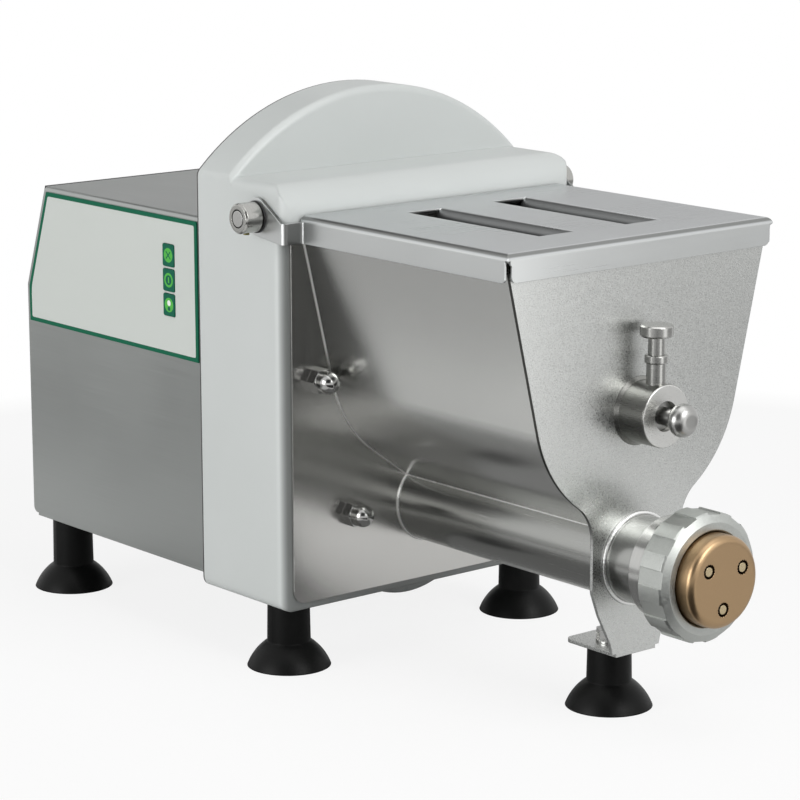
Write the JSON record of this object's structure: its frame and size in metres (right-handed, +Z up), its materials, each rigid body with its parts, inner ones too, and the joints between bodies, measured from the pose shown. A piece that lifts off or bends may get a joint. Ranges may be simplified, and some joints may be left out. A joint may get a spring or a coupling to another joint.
{
  "type": "electric pasta maker",
  "caption": "Electric pasta maker with a mixing hopper under a hinged slotted lid, a screw-fed extruder barrel with a ring nut and bronze die, a drive tower and a casing with push keys",
  "frame": {"origin": "the middle of the bounding box on the floor under the feet", "axes": "+X across, away from the key panel; +Y from the die to the rear casing; +Z up"},
  "size_m": [0.243, 0.5024, 0.3225],
  "materials": {
    "tower_paint": "light grey enamel, satin",
    "casing_steel": "satin stainless sheet",
    "polished_plate": "polished stainless sheet",
    "sanded_plate": "hand-sanded stainless, sparkling",
    "hopper_steel": "satin stainless sheet and tube",
    "cover_paint": "dark grey powder coat",
    "panel_film": "matte film with a green border",
    "key_green": "dark green keys with lime marks",
    "nut_steel": "cast and turned stainless",
    "turned_steel": "turned stainless",
    "polished_steel": "polished",
    "bronze": "turned bronze, brown",
    "sintered_bronze": "sintered",
    "black_rubber": "satin",
    "black_plastic": "matte",
    "board_green": "coated board",
    "gear_steel": "oiled",
    "cast_grey": "machined",
    "motor_black": "black paint",
    "capacitor_shell": "plain",
    "zinc": "zinc plated",
    "brass_screw": "yellow plated"
  },
  "bodies": {
    "frame": {"tower_housing": "tower_paint", "rear_casing": "casing_steel", "rear_cover": "cover_paint", "base_tray": "casing_steel", "control_panel": "panel_film", "control_board": "board_green", "key_switches": "black_plastic", "hopper_back_plate": "polished_plate", "hopper_side_left": "hopper_steel", "hopper_side_right": "hopper_steel", "hopper_front_plate": "sanded_plate", "barrel": "hopper_steel", "barrel_collar": "turned_steel", "acorn_nuts": "polished_steel", "hopper_studs": "zinc", "hinge_bushes": "sintered_bronze", "lid_switch": "black_plastic", "pin_boss": "turned_steel", "plunger_sleeve": "turned_steel", "plunger_spring": "zinc", "bearing_housing": "cast_grey", "shaft_bearings": "turned_steel", "shaft_seals": "black_rubber", "gear_plate": "cast_grey", "plate_pillars": "zinc", "gearhead": "cast_grey", "motor": "motor_black", "capacitor": "capacitor_shell", "capacitor_strap": "zinc", "power_inlet": "black_plastic", "casing_screws": "zinc", "front_feet": "black_rubber", "rear_feet": "black_rubber", "hopper_foot": "black_rubber", "foot_studs": "zinc", "foot_hardware": "polished_steel"},
    "lid": {"lid": "hopper_steel", "hinge_shaft": "turned_steel", "hinge_knobs": "turned_steel", "knob_screws": "brass_screw", "knob_washers": "black_plastic"},
    "auger": {"auger_core": "turned_steel", "auger_flight": "turned_steel", "auger_drive": "gear_steel", "auger_gear": "gear_steel"},
    "mixer": {"mixer": "turned_steel", "mixer_drive": "gear_steel", "mixer_gear": "gear_steel"},
    "motor_pinion": {"pinion": "gear_steel"},
    "die": {"die": "bronze", "die_inserts": "bronze"},
    "ring_nut": {"ring_nut": "nut_steel"},
    "pivot_pin": {"pivot_pin": "polished_steel"},
    "plunger": {"plunger": "polished_steel"},
    "key_upper": {"key_upper": "key_green"},
    "key_middle": {"key_middle": "key_green"},
    "key_lower": {"key_lower": "key_green"}
  },
  "joints": [
    {"name": "lid_hinge", "type": "hinge", "parent": "frame", "child": "lid", "pos_m": [0, 0.00555, 0.2602], "axis": [-1, 0, 0], "range_deg": [0, 110]},
    {"name": "auger_spin", "type": "hinge", "parent": "frame", "child": "auger", "pos_m": [0, 0, 0.087], "axis": [0, 1, 0], "continuous": true},
    {"name": "mixer_spin", "type": "hinge", "parent": "frame", "child": "mixer", "pos_m": [0, 0, 0.168], "axis": [0, 1, 0], "continuous": true},
    {"name": "pinion_spin", "type": "hinge", "parent": "frame", "child": "motor_pinion", "pos_m": [0.048, 0, 0.123], "axis": [0, 1, 0], "continuous": true},
    {"name": "die_slide", "type": "slide", "parent": "frame", "child": "die", "axis": [0, -1, 0], "range_m": [0, 0.009]},
    {"name": "nut_turn", "type": "hinge", "parent": "die", "child": "ring_nut", "pos_m": [0, -0.23125, 0.087], "axis": [0, -1, 0], "range_deg": [0, 1080]},
    {"name": "pin_pull", "type": "slide", "parent": "frame", "child": "pivot_pin", "axis": [0, -1, 0], "range_m": [0, 0.02]},
    {"name": "plunger_drop", "type": "slide", "parent": "frame", "child": "plunger", "axis": [0, 0, 1], "range_m": [-0.0035, 0], "deforming": ["plunger_spring"]},
    {"name": "key_upper_press", "type": "slide", "parent": "frame", "child": "key_upper", "axis": [1, 0, 0], "range_m": [0, 0.001], "stiffness_N_per_m": 500, "springref_m": -0.001},
    {"name": "key_middle_press", "type": "slide", "parent": "frame", "child": "key_middle", "axis": [1, 0, 0], "range_m": [0, 0.001], "stiffness_N_per_m": 500, "springref_m": -0.001},
    {"name": "key_lower_press", "type": "slide", "parent": "frame", "child": "key_lower", "axis": [1, 0, 0], "range_m": [0, 0.001], "stiffness_N_per_m": 500, "springref_m": -0.001}
  ],
  "couplings": [
    {"joint": "mixer_spin", "follows": "auger_spin", "ratio": -1.25},
    {"joint": "pinion_spin", "follows": "auger_spin", "ratio": -3},
    {"joint": "die_slide", "follows": "nut_turn", "m_per_rad": 0.00047746}
  ]
}
